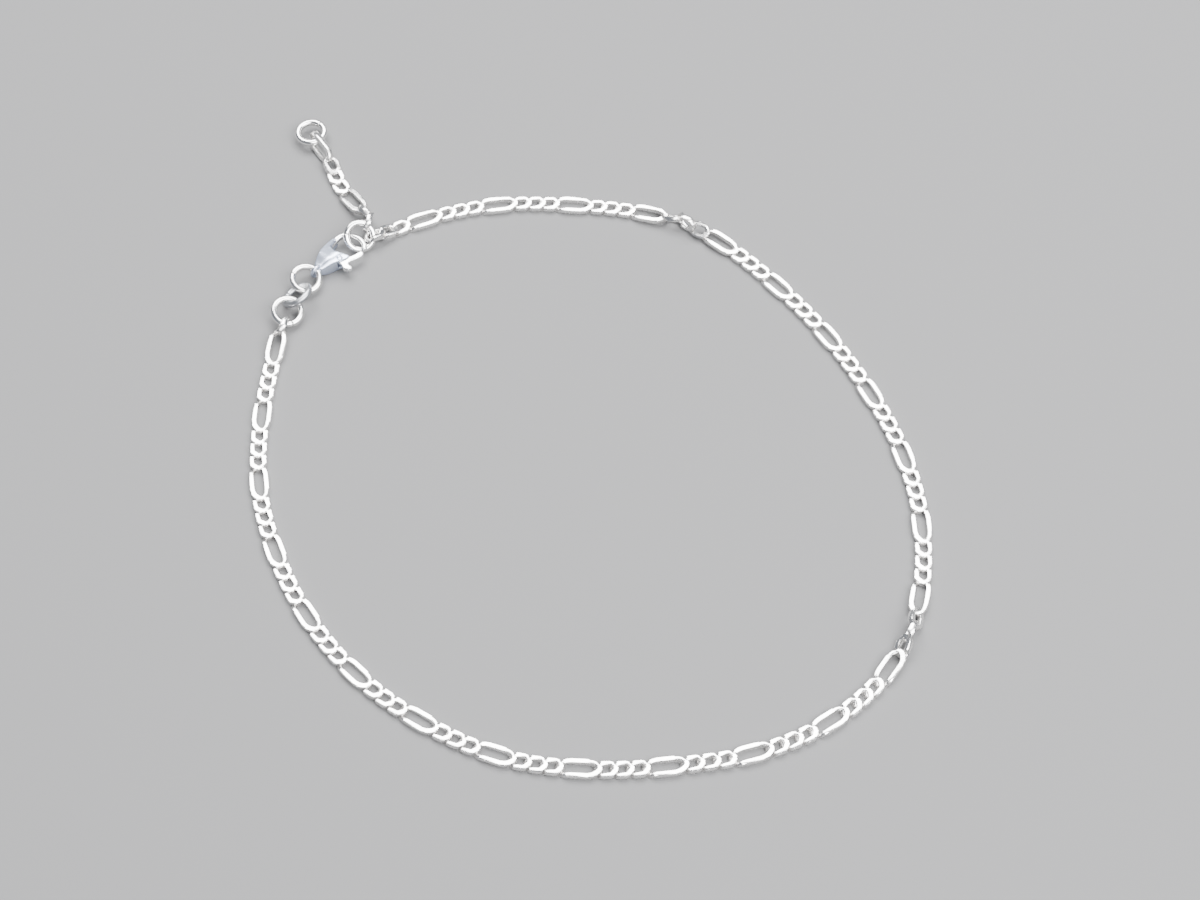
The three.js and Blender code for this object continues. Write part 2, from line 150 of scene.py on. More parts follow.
# How the links that hook into a ring or are twisted are turned and lifted
FIRST_LINK = {"roll": 61, "lift": 0.77}
LAST_LINKS = [{"roll": 0, "lift": 0}, {"roll": 7.4, "lift": 0.6}, {"roll": 19.9, "lift": 0.95}]
KINK_ROLLS = (-34, -81.7, -132.7)
HOOKED = -LINK_BITE / 2
LOOSE = LINK_PLAY / 2
TAIL_LINKS = [
    {"kind": "short", "roll": -64.5, "lift": 1.58, "give": HOOKED},
    {"kind": "short", "roll": -111, "lift": 0.68, "give": HOOKED},
    {"kind": "long"},
    {"kind": "short"},
    {"kind": "short"},
    {"kind": "short", "roll": 9.9, "lift": 0.69, "give": HOOKED},
    {"kind": "long", "roll": -62, "lift": 0.79, "give": LOOSE},
]

LOOP_ROUTE = [
    (-40.4, 27.6), (-41.5, 23.0), (-43.1, 12.7), (-43.1, 2.3), (-40.7, -7.6), (-36.5, -16.8),
    (-30.3, -25.1), (-22.4, -31.7), (-13.4, -36.5), (-3.3, -38.6), (7.1, -38.7), (17.3, -37.4),
    (26.7, -33.2), (34.1, -26.0), (37.6, -17.6), (38.8, -7.5), (37.5, 2.7), (34.1, 12.4),
    (29.3, 21.7), (23.3, 30.1), (16.2, 37.5), (8.2, 41.9), (-1.9, 44.2), (-12.1, 45.0),
    (-22.1, 43.2), (-28.5, 40.6), (-30.9, 39.5), (-36.0, 35.3), (-38.1, 33.0), (-39.5, 30.2),
]
TAIL_ROUTE = [
    (-29.4, 41.4), (-29.0, 43.3), (-30.8, 46.1), (-32.9, 49.5), (-33.8, 51.5), (-34.2, 53.5),
    (-35.3, 55.4), (-36.9, 58.2),
]


# Laying the chain
def through(points, closed, count):
    """A smooth curve through the given points, as an array of count steps."""
    points = [Vector(point).to_2d() for point in points]
    size = len(points)
    laps = size if closed else size - 1

    def at(k):
        if closed:
            return points[k % size]
        if k < 0:
            return 2 * points[0] - points[1]
        return 2 * points[-1] - points[-2] if k >= size else points[k]

    curve = []
    for step in range(count + 1):
        share = laps * step / count
        k = min(int(share), laps - 1)
        t = share - k
        p0, p1, p2, p3 = (at(k + i) for i in (-1, 0, 1, 2))
        d0, d1, d2 = (max((b - a).length, 1e-6) ** 0.5 for a, b in ((p0, p1), (p1, p2), (p2, p3)))
        out = ((p1 - p0) / d0 - (p2 - p0) / (d0 + d1) + (p2 - p1) / d1) * d1
        into = ((p2 - p1) / d1 - (p3 - p1) / (d1 + d2) + (p3 - p2) / d2) * d1
        curve.append(p1 + out * t + (3 * (p2 - p1) - 2 * out - into) * t ** 2
                     + (2 * (p1 - p2) + out + into) * t ** 3)
    return np.array(curve)


def lengths_along(curve):
    """How far along the curve each of its points lies."""
    return np.concatenate([[0], np.cumsum(np.linalg.norm(np.diff(curve, axis=0), axis=1))])


def spot_at(curve, reach, mark):
    """The place at a length along the curve; past either end it stays at that end."""
    return Vector([np.interp(mark, reach, curve[:, axis]) for axis in (0, 1)])


def row(kind, inside, **changes):
    """One thing laid along a route: its inner length, and what it gives where it meets the
    next one, its roll in degrees, its lift off the floor and its sway to the side."""
    return {"kind": kind, "inside": inside, "give": LINK_SLACK / 2, "roll": 0, "lift": 0,
            "sway": 0, **changes}


def link(kind, **changes):
    return row(kind, (SHORT_PITCH if kind == "short" else LONG_PITCH) + LINK_SLACK, **changes)


def lay_along(route, rows, closed, start, anchor=(0, 0)):
    """Gives each row its two ends, its middle and its frame along a route scaled to fit."""
    first = Vector((0, 0)) if closed else Vector(route[0])
    curve = through([Vector(point) - first for point in route], closed, ROUTE_STEPS)
    reach = lengths_along(curve)
    steps = []
    for before, item in zip([start, *rows], rows):
        span = item["inside"] - before["give"] - item["give"]
        steps.append(math.sqrt(span ** 2 - (item["lift"] - before["lift"]) ** 2
                               - (item["sway"] - before["sway"]) ** 2))
    total = sum(steps)
    scale = total / reach[-1]

    def place(along, item):
        share = min(along / total, 1) * reach[-1]
        spot = spot_at(curve, reach, share)
        ahead = (spot_at(curve, reach, share + ROUTE_NUDGE)
                 - spot_at(curve, reach, share - ROUTE_NUDGE))
        side = Vector((-ahead.y, ahead.x)).normalized()
        spot = spot * scale + Vector(anchor) + side * item["sway"]
        return Vector((spot.x, spot.y, CHAIN_THICKNESS / 2 + item["lift"]))

    laid, along, back = [], 0, place(0, start)
    for before, item, step in zip([start, *rows], rows, steps):
        along += step
        front = place(along, item)
        x = (front - back).normalized()
        y = Vector((0, 0, 1)).cross(x).normalized()
        turn = Matrix((x, y, x.cross(y))).transposed().to_4x4()
        middle = back + x * (item["inside"] / 2 - before["give"])
        turn = turn @ Matrix.Rotation(math.radians(item["roll"]), 4, "X")
        laid.append({**item, "front": front, "back": back, "middle": middle,
                     "frame": Matrix.Translation(middle) @ turn})
        back = front
    return laid


def chain_rows():
    """The links of the loop's two halves, in order; the chain is twisted at two places."""
    first, second = [link("short", give=HOOKED, **FIRST_LINK)], []
    for i in range(1, LONG_COUNT + 1):
        half = first if i <= LONGS_BEFORE_SEAM else second
        seam = i == LONGS_BEFORE_SEAM
        twisted = seam or i == KINK_AFTER
        half.append(link("long", **({"lift": KINK_START, "give": HOOKED} if twisted else {})))
        if i == LONG_COUNT:
            break
        if twisted:
            kink = [
                link("short", roll=KINK_ROLLS[0], lift=KINK_LIFT, sway=KINK_SWAY, give=HOOKED),
                link("short", roll=KINK_ROLLS[1], lift=KINK_LIFT, sway=-KINK_SWAY,
                     give=LOOSE if seam else HOOKED),
                link("short", roll=KINK_ROLLS[2], lift=KINK_START, give=HOOKED),
            ]
            half.extend(kink[:2])
            (second if seam else half).append(kink[2])
        else:
            half.extend(link("short") for _ in range(SHORTS_BETWEEN))
    second.extend(link("short", **changes) for changes in LAST_LINKS)
    second[-1]["give"] = LOOSE
    return first, second


first_half, second_half = chain_rows()
closing = [
    row("catch", CATCH_ROOM, give=0),
    row("clasp", CLASP_ROOM, give=0),
    row("clasp_ring", RING_ROOM, give=0),
    row("joining", RING_ROOM, give=0),
    row("chain", CHAIN_RING_ROOM, give=LOOSE, lift=CHAIN_RING_LIFT),
]
laid = lay_along(LOOP_ROUTE, [*first_half, *second_half, *closing], True, closing[-1])
spots = {item["kind"]: item for item in laid[-len(closing):]}


def ring_frame(base, lay):
    """Where a ring lies: over its base, leaning, with its lowest point at its rise."""
    height = RING_WIRE / 2 + RING_RADIUS * math.sin(math.radians(abs(lay["lean"])))
    middle = Vector((base.x + lay["x"], base.y + lay["y"], height + lay["rise"]))
    return (Matrix.Translation(middle)
            @ Matrix.Rotation(math.radians(lay["heading"]), 4, "Z")
            @ Matrix.Rotation(math.radians(lay["lean"]), 4, "X"))


eye = spots["clasp"]["front"].copy()
eye.z = 0
pull = spots["clasp"]["back"] - eye
clasp_angle = math.atan2(pull.y, pull.x) - math.radians(HOOK_ANGLE)
clasp_frame = Matrix.Translation(eye) @ Matrix.Rotation(clasp_angle, 4, "Z")
clasp_reach = clasp_frame @ Vector((-RING_RADIUS, 0, 0))
chain_side = spots["chain"]["middle"]
ring_frames = {
    "chain": ring_frame(chain_side, RINGS["chain"]),
    "clasp": ring_frame(clasp_reach, RINGS["clasp"]),
    "joining": ring_frame((clasp_reach + chain_side) / 2, RINGS["joining"]),
    "catch": ring_frame(clasp_frame @ Vector((BODY_LENGTH + HOOK_REACH, 0, 0)), RINGS["catch"]),
}
tail_hook = ring_frames["catch"] @ (Matrix.Rotation(math.radians(TAIL_ANGLE), 4, "Z")
                                    @ Vector((RING_RADIUS - RING_WIRE / 2, 0, 0)))
tail = lay_along(TAIL_ROUTE, [link(**changes) for changes in TAIL_LINKS], False,
                 row("start", 0, give=LOOSE, lift=tail_hook.z - CHAIN_THICKNESS / 2),
                 tail_hook.to_2d())
ring_frames["end"] = ring_frame(tail[-1]["front"], RINGS["end"])


# Node trees
class Value:
    """A number or vector that a node tree works out: sums written with it add Math nodes."""

    def __init__(self, sheet, socket):
        self.sheet = sheet
        self.socket = socket

    def __add__(self, other):
        return self.sheet.math("ADD", self, other)

    def __radd__(self, other):
        return self.sheet.math("ADD", other, self)

    def __sub__(self, other):
        return self.sheet.math("SUBTRACT", self, other)

    def __rsub__(self, other):
        return self.sheet.math("SUBTRACT", other, self)

    def __mul__(self, other):
        return self.sheet.math("MULTIPLY", self, other)

    def __rmul__(self, other):
        return self.sheet.math("MULTIPLY", other, self)

    def __truediv__(self, other):
        return self.sheet.math("DIVIDE", self, other)

    def __pow__(self, other):
        return self.sheet.math("POWER", self, other)

    def __gt__(self, other):
        return self.sheet.math("GREATER_THAN", self, other)

    def clamp(self, low, high):
        return self.sheet.add("ShaderNodeClamp", {}, {0: self, 1: low, 2: high})

    def ease(self, low, high):
        """0 below low, 1 above high, smooth between them."""
        return self.sheet.add("ShaderNodeMapRange", {"interpolation_type": "SMOOTHSTEP"},
                              {0: self, 1: low, 2: high, 3: 0.0, 4: 1.0})


class Sheet:
    """A node tree being drawn. add() takes a node's type, its settings and its sockets."""

    def __init__(self, tree):
        self.tree = tree

    def add(self, kind, settings=None, sockets=None, output=0):
        node = self.tree.nodes.new(kind)
        for key, value in (settings or {}).items():
            setattr(node, key, value)
        for key, value in (sockets or {}).items():
            if isinstance(value, Value):
                self.tree.links.new(value.socket, node.inputs[key])
            else:
                node.inputs[key].default_value = value
        return Value(self, node.outputs[output]) if len(node.outputs) else node

    def math(self, operation, *terms):
        return self.add("ShaderNodeMath", {"operation": operation}, dict(enumerate(terms)))

    def outlets(self, value, *names):
        node = value.socket.node
        return [Value(self, node.outputs[name]) for name in names]

    def mix(self, share, a, b):
        return self.add("ShaderNodeMix", {"data_type": "RGBA"}, {0: share, 6: a, 7: b}, 2)


def shape_tree(name, inputs):
    """A Geometry Nodes tree with named inputs; returns its sheet and its inputs as values."""
    tree = bpy.data.node_groups.new(name, "GeometryNodeTree")
    kinds = {"geometry": "NodeSocketGeometry", "size": "NodeSocketFloat",
             "count": "NodeSocketInt", "metal": "NodeSocketMaterial"}
    for label, kind in inputs.items():
        tree.interface.new_socket(label, in_out="INPUT", socket_type=kinds[kind])
    tree.interface.new_socket("Shape", in_out="OUTPUT", socket_type="NodeSocketGeometry")
    sheet = Sheet(tree)
    entry = tree.nodes.new("NodeGroupInput")
    return sheet, {label: Value(sheet, entry.outputs[label]) for label in inputs}


def close_tree(sheet, shape):
    sheet.add("NodeGroupOutput", {}, {0: shape})
    return sheet.tree


def shaded(sheet, mesh, sharp_from):
    """Smooth faces with sharp edges where two faces meet at more than this angle."""
    smooth = sheet.add("GeometryNodeSetShadeSmooth", {"domain": "FACE"}, {0: mesh, 2: True})
    angle = sheet.add("GeometryNodeInputMeshEdgeAngle")
    return sheet.add("GeometryNodeSetShadeSmooth", {"domain": "EDGE"},
                     {0: smooth, 1: angle > sharp_from, 2: False})


def filed_link_tree():
    """One link along X: a wire oval, twisted about its length and filed flat on both faces."""
    sheet, given = shape_tree("Filed link", {
        "Pitch": "size", "Slack": "size", "Wire": "size", "Width": "size", "Thickness": "size",
        "Turn": "size", "Twist power": "size", "Wire height": "size", "End growth": "size",
        "End drop": "size", "Path steps": "count", "Wire sides": "count"})
    half = (given["Width"] - given["Wire"]) / 2
    straight = (given["Pitch"] + given["Slack"] + given["Wire"]) / 2 - half
    path = sheet.add("GeometryNodeCurvePrimitiveCircle", {"mode": "RADIUS"},
                     {"Resolution": given["Path steps"], "Radius": half})
    place = sheet.add("GeometryNodeInputPosition")
    x, y = sheet.outlets(sheet.add("ShaderNodeSeparateXYZ", {}, {0: place}), "X", "Y")
    # The ends are drawn apart: the sides bow out a little between them
    side = sheet.math("SIGN", x) * (sheet.math("ABSOLUTE", x) / half) ** SIDE_BOW
    # One end is broad and grows inward, so that the outside of the link stays the same
    behind = (0 - (x + side * straight)) / (given["Pitch"] / 2)
    growth = given["End growth"] * behind.ease(*GROWTH_RANGE)
    pull = growth * given["Wire"] / 2 / half
    spread = sheet.add("ShaderNodeCombineXYZ", {}, {
        "X": side * straight - x * pull, "Y": 0 - y * pull})
    path = sheet.add("GeometryNodeSetPosition", {}, {"Geometry": path, "Offset": spread})
    path = sheet.add("GeometryNodeSetCurveNormal", {"mode": "Z_UP"}, {"Curve": path})
    growth = given["End growth"] * ((0 - x) / (given["Pitch"] / 2)).ease(*GROWTH_RANGE)
    path = sheet.add("GeometryNodeSetCurveRadius", {}, {"Curve": path, "Radius": 1 + growth})
    wire = sheet.add("GeometryNodeCurvePrimitiveCircle", {"mode": "RADIUS"},
                     {"Resolution": given["Wire sides"], "Radius": given["Wire"] / 2})
    mesh = sheet.add("GeometryNodeCurveToMesh", {}, {"Curve": path, "Profile Curve": wire})
    place = sheet.add("GeometryNodeInputPosition")
    x, y, z = sheet.outlets(sheet.add("ShaderNodeSeparateXYZ", {}, {0: place}), "X", "Y", "Z")
    tall = sheet.add("ShaderNodeCombineXYZ", {}, {
        "X": x, "Y": y, "Z": z * given["Wire height"] / given["Wire"]})
    share = (sheet.math("ABSOLUTE", x) / (given["Pitch"] / 2)).clamp(0.0, TWIST_LIMIT)
    twist = given["Turn"] * sheet.math("SIGN", x) * share ** given["Twist power"]
    turned = sheet.add("ShaderNodeVectorRotate", {"rotation_type": "X_AXIS"},
                       {"Vector": tall, "Angle": twist})
    x, y, z = sheet.outlets(sheet.add("ShaderNodeSeparateXYZ", {}, {0: turned}), "X", "Y", "Z")
    # The narrow end dips under the broad end of the next link
    z = z - given["End drop"] * (x / (given["Pitch"] / 2)).ease(*DROP_RANGE)
    limit = given["Thickness"] / 2
    flat = z.clamp(0 - limit, limit)
    filed = sheet.add("ShaderNodeCombineXYZ", {}, {"X": x, "Y": y, "Z": flat})
    # How far each point was filed down, and how deep it lies in the crossing of two links
    mesh = sheet.add("GeometryNodeStoreNamedAttribute", {"data_type": "FLOAT", "domain": "POINT"},
                     {"Geometry": mesh, "Name": "filed",
                      "Value": (sheet.math("ABSOLUTE", z - flat) / (FILED_EDGE * MM)).clamp(0, 1)})
    reach = sheet.math("ABSOLUTE", x) / (given["Pitch"] / 2)
    depths = [part * CHAIN_THICKNESS * MM / 2 for part in RECESS_DEPTH]
    buried = reach.ease(*RECESS_RANGE) * (1 - sheet.math("ABSOLUTE", z).ease(*depths))
    mesh = sheet.add("GeometryNodeStoreNamedAttribute", {"data_type": "FLOAT", "domain": "POINT"},
                     {"Geometry": mesh, "Name": "recess", "Value": buried})
    mesh = sheet.add("GeometryNodeSetPosition", {}, {"Geometry": mesh, "Position": filed})
    return close_tree(sheet, shaded(sheet, mesh, LINK_CREASE))


def chain_tree(link_tree):
    """Puts a link on each point of a mesh, which holds the link's turn and kind."""
    sheet, given = shape_tree("Figaro chain", {
        "Rows": "geometry", "Short pitch": "size", "Long pitch": "size", "Slack": "size",
        "Wire": "size", "Short width": "size", "Long width": "size", "Thickness": "size",
        "Short turn": "size", "Long turn": "size", "Short twist power": "size",
        "Long twist power": "size", "Wire height": "size", "End growth": "size",
        "End drop": "size", "Path steps": "count", "Wire sides": "count", "Metal": "metal"})
    turn = sheet.add("GeometryNodeInputNamedAttribute", {"data_type": "FLOAT_VECTOR"},
                     {"Name": "turn"})
    turn = sheet.add("FunctionNodeEulerToRotation", {}, {0: turn})
    is_long = sheet.add("GeometryNodeInputNamedAttribute", {"data_type": "FLOAT"},
                        {"Name": "is_long"})
    join = sheet.tree.nodes.new("GeometryNodeJoinGeometry")
    for size, chosen in (("Short", 0.5 - is_long > 0), ("Long", is_long > 0.5)):
        shape = sheet.add("GeometryNodeGroup", {"node_tree": link_tree}, {
            "Pitch": given[f"{size} pitch"], "Turn": given[f"{size} turn"],
            "Twist power": given[f"{size} twist power"], "Width": given[f"{size} width"],
            **{key: given[key] for key in ("Slack", "Wire", "Thickness", "Wire height",
                                           "End growth", "End drop", "Path steps",
                                           "Wire sides")}})
        placed = sheet.add("GeometryNodeInstanceOnPoints", {}, {
            "Points": given["Rows"], "Selection": chosen, "Instance": shape, "Rotation": turn})
        sheet.tree.links.new(placed.socket, join.inputs[0])
    real = sheet.add("GeometryNodeRealizeInstances", {}, {0: Value(sheet, join.outputs[0])})
    done = sheet.add("GeometryNodeSetMaterial", {}, {"Geometry": real, "Material": given["Metal"]})
    return close_tree(sheet, done)


def ring_tree():
    """A round jump ring with the fine groove where its two ends meet."""
    sheet, given = shape_tree("Jump ring", {
        "Radius": "size", "Wire": "size", "Seam place": "size", "Seam width": "size",
        "Seam depth": "size", "Path steps": "count", "Wire sides": "count", "Metal": "metal"})
    path = sheet.add("GeometryNodeCurvePrimitiveCircle", {"mode": "RADIUS"},
                     {"Resolution": given["Path steps"], "Radius": given["Radius"]})
    wire = sheet.add("GeometryNodeCurvePrimitiveCircle", {"mode": "RADIUS"},
                     {"Resolution": given["Wire sides"], "Radius": given["Wire"] / 2})
    mesh = sheet.add("GeometryNodeCurveToMesh", {}, {"Curve": path, "Profile Curve": wire})
    place = sheet.add("GeometryNodeInputPosition")
    x, y = sheet.outlets(sheet.add("ShaderNodeSeparateXYZ", {}, {0: place}), "X", "Y")
    angle = sheet.math("ARCTAN2", y, x) - given["Seam place"]
    turn = sheet.math("ARCTAN2", sheet.math("SINE", angle), sheet.math("COSINE", angle))
    off = sheet.math("ABSOLUTE", turn) * given["Radius"]
    near = 1 - (off / given["Seam width"]).ease(0.0, 1.0)
    flat = sheet.add("ShaderNodeCombineXYZ", {}, {"X": x, "Y": y})
    core = sheet.add("ShaderNodeVectorMath", {"operation": "NORMALIZE"}, {0: flat})
    core = sheet.add("ShaderNodeVectorMath", {"operation": "SCALE"},
                     {0: core, "Scale": given["Radius"]})
    inward = sheet.add("ShaderNodeVectorMath", {"operation": "SUBTRACT"}, {0: core, 1: place})
    offset = sheet.add("ShaderNodeVectorMath", {"operation": "SCALE"},
                       {0: inward, "Scale": near * given["Seam depth"]})
    mesh = sheet.add("GeometryNodeStoreNamedAttribute", {"data_type": "FLOAT", "domain": "POINT"},
                     {"Geometry": mesh, "Name": "recess", "Value": near})
    mesh = sheet.add("GeometryNodeSetPosition", {}, {"Geometry": mesh, "Offset": offset})
    real = sheet.add("GeometryNodeRealizeInstances", {}, {0: shaded(sheet, mesh, RING_CREASE)})
    done = sheet.add("GeometryNodeSetMaterial", {}, {"Geometry": real, "Material": given["Metal"]})
    return close_tree(sheet, done)


def grown(name, tree, sizes, start=None):
    """The plain mesh object that a tree makes with these inputs."""
    obj = bpy.data.objects.new(name, start or bpy.data.meshes.new(name))
    bpy.context.scene.collection.objects.link(obj)
    shape = obj.modifiers.new("Shape", "NODES")
    shape.node_group = tree
    names = {item.name: item.identifier for item in tree.interface.items_tree
             if item.in_out == "INPUT"}
    for label, value in sizes.items():
        shape[names[label]] = value
    graph = bpy.context.evaluated_depsgraph_get()
    mesh = bpy.data.meshes.new_from_object(obj.evaluated_get(graph),
                                           preserve_all_data_layers=True, depsgraph=graph)
    obj.modifiers.remove(shape)
    obj.data = mesh
    mesh.name = name
    return obj


# Metals
SILVER = (0.955, 0.945, 0.93)
SCRATCHES = ((25, 900), (-62, 1150))
SCRATCH_STRETCH = (1, 14, 3)
GRAIN_DEPTH = 0.02 * MM


def metal(name, colour, dark, rough, marks, grain, cloud, polish=0.0, recess=0.6):
    """Silver: a clouded tone, fine scratches, and tarnish where polishing doesn't reach."""
    material = bpy.data.materials.new(name)
    material.use_nodes = True
    sheet = Sheet(material.node_tree)
    material.node_tree.nodes.clear()
    place = sheet.add("ShaderNodeTexCoord", output=3)
    tone = sheet.add("ShaderNodeTexNoise", {}, {
        "Vector": place, "Scale": cloud, "Detail": 3.0, "Roughness": 0.6})
    spots = sheet.add("ShaderNodeTexNoise", {}, {
        "Vector": place, "Scale": cloud * 7, "Detail": 2.0, "Roughness": 0.7})
    scratched = []
    for turn, scale in SCRATCHES:
        stretched = sheet.add("ShaderNodeMapping", {}, {
            "Vector": place, "Rotation": (0.3, 0.2, math.radians(turn)),
            "Scale": SCRATCH_STRETCH})
        line = sheet.add("ShaderNodeTexNoise", {}, {
            "Vector": stretched, "Scale": scale, "Detail": 1.0, "Roughness": 0.5})
        scratched.append(line.ease(0.6, 0.72))
    scratches = sheet.math("MAXIMUM", *scratched)
    deep = sheet.add("ShaderNodeAttribute", {"attribute_name": "recess"}, output=2)
    dull = (deep * recess + spots.ease(0.62, 0.8) * 0.12).clamp(0.0, 1.0)
    shade = sheet.mix(dull, (*colour, 1), (*dark, 1))
    shade = sheet.mix(tone.ease(0.35, 0.75) * 0.16, shade, (*dark, 1))
    roughness = (tone * 0.5 + 0.75) * rough + scratches * marks * 0.25 + dull * 0.22
    if polish:
        filed = sheet.add("ShaderNodeAttribute", {"attribute_name": "filed"}, output=2)
        roughness = roughness - filed * polish
    grainy = sheet.add("ShaderNodeTexNoise", {}, {
        "Vector": place, "Scale": grain, "Detail": 2.0, "Roughness": 0.6})
    height = grainy * 0.5 - scratches * marks
    bump = sheet.add("ShaderNodeBump", {}, {
        "Strength": 0.22, "Distance": GRAIN_DEPTH, "Height": height})
    shader = sheet.add("ShaderNodeBsdfPrincipled", {}, {
        "Base Color": shade, "Metallic": 1.0, "Roughness": roughness.clamp(0.05, 0.9),
        "Normal": bump})
    sheet.add("ShaderNodeOutputMaterial", {}, {"Surface": shader})
    return material


chain_metal = metal("Polished chain silver", SILVER, (0.42, 0.4, 0.39), 0.2, 0.5, 9000, 160,
                    polish=0.03, recess=0.5)
ring_metal = metal("Drawn ring silver", SILVER, (0.4, 0.38, 0.37), 0.16, 0.4, 7000, 130)
grey_metal = metal("Grey silver wire", (0.42, 0.43, 0.45), (0.2, 0.2, 0.21), 0.34, 0.7, 7000, 200)
# The body, its eye and its pin get a darker blue-grey silver: painted blue reflection and painted
# shade in the base colour, over a satin finish.
cast_metal_painted_reflection = metal("Satin cast silver with painted reflection", (0.6, 0.66, 0.8), (0.36, 0.39, 0.48), 0.3, 0.5, 5200,
                   260, recess=0.7)
gate_metal = metal("Polished lever silver", (0.93, 0.93, 0.93), (0.4, 0.39, 0.39), 0.22, 0.4,
                   6000, 220)


def finished(obj, body, nodes):
    """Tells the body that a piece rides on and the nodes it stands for."""
    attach(obj, body)
    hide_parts(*nodes)


# Chain
def crossing_turn(pitch):
    """How far a link is twisted so that it clears its neighbour where the two cross."""
    half = (MEAN_WIDTH - LINK_WIRE) / 2
    reach = (pitch + LINK_SLACK + LINK_WIRE) / 2
    crossing = math.sqrt(half ** 2 - (pitch / 2 - reach + half) ** 2)
    return math.asin(CROSSING_OFFSET / crossing)


def from_drawing(matrix):
    """The same place, told from the part's origin."""
    return Matrix.Translation(-DRAWING_ORIGIN) @ matrix


def rows_mesh(name, items, about):
    """One point for each link, with its turn and whether it is a long one; about turns each
    link end for end in its own plane. A link that lies flat rests on its filed face."""
    turn_about = Matrix.Rotation(math.pi if about else 0, 4, "Z")
    frames = [from_drawing(item["frame"]) @ turn_about for item in items]
    for frame in frames:
        frame.translation.z -= FILED_DROP * abs(frame.col[2].z)
    mesh = bpy.data.meshes.new(name)
    mesh.from_pydata([f.translation * MM for f in frames], [], [])
    for label, kind in (("turn", "FLOAT_VECTOR"), ("is_long", "FLOAT")):
        mesh.attributes.new(label, kind, "POINT")
    for i, (f, item) in enumerate(zip(frames, items)):
        mesh.attributes["turn"].data[i].vector = f.to_euler()
        mesh.attributes["is_long"].data[i].value = float(item["kind"] == "long")
    return mesh


figaro = chain_tree(filed_link_tree())
first_laid = laid[:len(first_half)]
for name, node, items in (
        ("figaro_chain_first_half", "main_chain_a", first_laid),
        ("figaro_chain_second_half", "main_chain_b", laid[len(first_half):-len(closing)]),
        ("figaro_extension", "extension_chain", tail)):
    piece = grown(name, figaro, {
        "Short pitch": SHORT_PITCH * MM, "Long pitch": LONG_PITCH * MM, "Slack": LINK_SLACK * MM,
        "Wire": LINK_WIRE * MM, "Short width": SHORT_WIDTH * MM, "Long width": LONG_WIDTH * MM,
        "Thickness": FILED_THICKNESS * MM, "Wire height": LINK_WIRE_HEIGHT * MM,
        "End growth": END_GROWTH, "End drop": END_DROP * MM,
        "Short twist power": SHORT_TWIST_POWER, "Long twist power": LONG_TWIST_POWER,
        "Short turn": -crossing_turn(SHORT_PITCH), "Long turn": -crossing_turn(LONG_PITCH),
        "Path steps": LINK_STEPS, "Wire sides": LINK_SIDES, "Metal": chain_metal,
    }, rows_mesh(name, items, items is first_laid))
    finished(piece, "root", [node])


# Jump rings
ring_shape = ring_tree()
for name, ring_place in ring_frames.items():
    grey = name == "joining"
    piece = grown(f"{name}_jump_ring", ring_shape, {
        "Radius": DRESSED_RING_RADIUS * MM, "Wire": DRESSED_RING_WIRE * MM,
        "Seam place": math.radians(RINGS[name]["seam"]), "Seam width": SEAM_WIDTH * MM,
        "Seam depth": SEAM_DEPTH, "Path steps": RING_STEPS, "Wire sides": RING_SIDES,
        "Metal": grey_metal if grey else ring_metal})
    matrix = from_drawing(ring_place)
    matrix.translation *= MM
    piece.data.transform(matrix)
    finished(piece, "root", [f"{name}_ring"])


# Clasp
# Outline of the body: from the eye along the lever's side, round the mouth and along the back
BODY_OUTLINE = [
    (0.12, 0.1), (0.16, -0.36), (0.42, -0.66), (1.2, -0.95), (2.29, -1.27), (3.3, -1.6),
    (4.05, -1.78), (4.5, -1.68), (4.52, -1.38), (4.12, -0.85), (3.8, -0.3), (3.72, 0.3),
    (3.75, 0.8), (3.9, 1.22), (4.35, 1.47), (5.0, 1.62), (5.24, 1.78), (5.27, 2.12),
    (5.05, 2.36), (4.4, 2.42), (3.59, 2.34), (2.6, 2.12), (1.76, 1.78), (0.95, 1.33),
    (0.4, 0.92), (0.16, 0.52),
]
BODY_HEART = Vector((2.6, 0.95))
# How the rim of a plate is rounded: pairs of an inset and a share of the height
BODY_RIM = [
    (0.3, 0.0), (0.16, 0.03), (0.06, 0.1), (0.0, 0.24), (0.0, 0.5), (0.02, 0.72), (0.06, 0.86),
    (0.13, 0.95), (0.22, 1.0),
]
HOOK_LINE = [
    (3.81, 1.71), (4.85, 1.95), (5.81, 1.98), (6.57, 1.67), (7.26, 0.72), (7.5, -0.32),
    (7.22, -1.42), (6.63, -2.03),
]
# Outline of the lever round its pin: the gate to the right, the thumb tab below
LEVER_OUTLINE = [
    (-0.54, 0.0), (-0.45, -0.58), (-0.63, -1.35), (-0.42, -1.82), (0.0, -2.1), (0.32, -2.06),
    (0.42, -1.7), (0.42, -1.36), (0.62, -1.16), (1.1, -1.26), (1.7, -1.46), (2.6, -1.57),
    (2.92, -1.46), (3.06, -1.14), (3.0, -0.86), (2.6, -0.76), (1.9, -0.66), (1.1, -0.32),
    (0.5, 0.32), (0.0, 0.54), (-0.4, 0.4),
]
LEVER_HEART = Vector((0.3, -0.75))
LEVER_RIM = [
    (0.2, 0.0), (0.09, 0.05), (0.02, 0.18), (0.0, 0.36), (0.0, 0.64), (0.02, 0.82), (0.09, 0.95),
    (0.2, 1.0),
]
# How far out from the heart the rings of a plate's two faces run, as shares
UNDER_SHARES = (0.1, 0.35, 0.6, 0.8)
UPPER_SHARES = (0.94, 0.86, 0.76, 0.65, 0.53, 0.4, 0.27, 0.13)
# The upper face of the body: its height, its ridge and how it falls away on both sides
EYE_TOP = 1.92
BODY_SWELL = 0.54
SWELL_RANGE = (0.1, 2.4)
RIDGE_AT_EYE = -0.08
RIDGE_SLOPE = -0.13
RIDGE_SOFTNESS = 0.14
LEVER_SIDE_FALL = 0.62
BACK_FALL = 0.27
# The under face: raised at the eye
EYE_UNDER = 0.35
UNDER_RANGE = (0.0, 1.6)
BODY_UNDER = 0.03
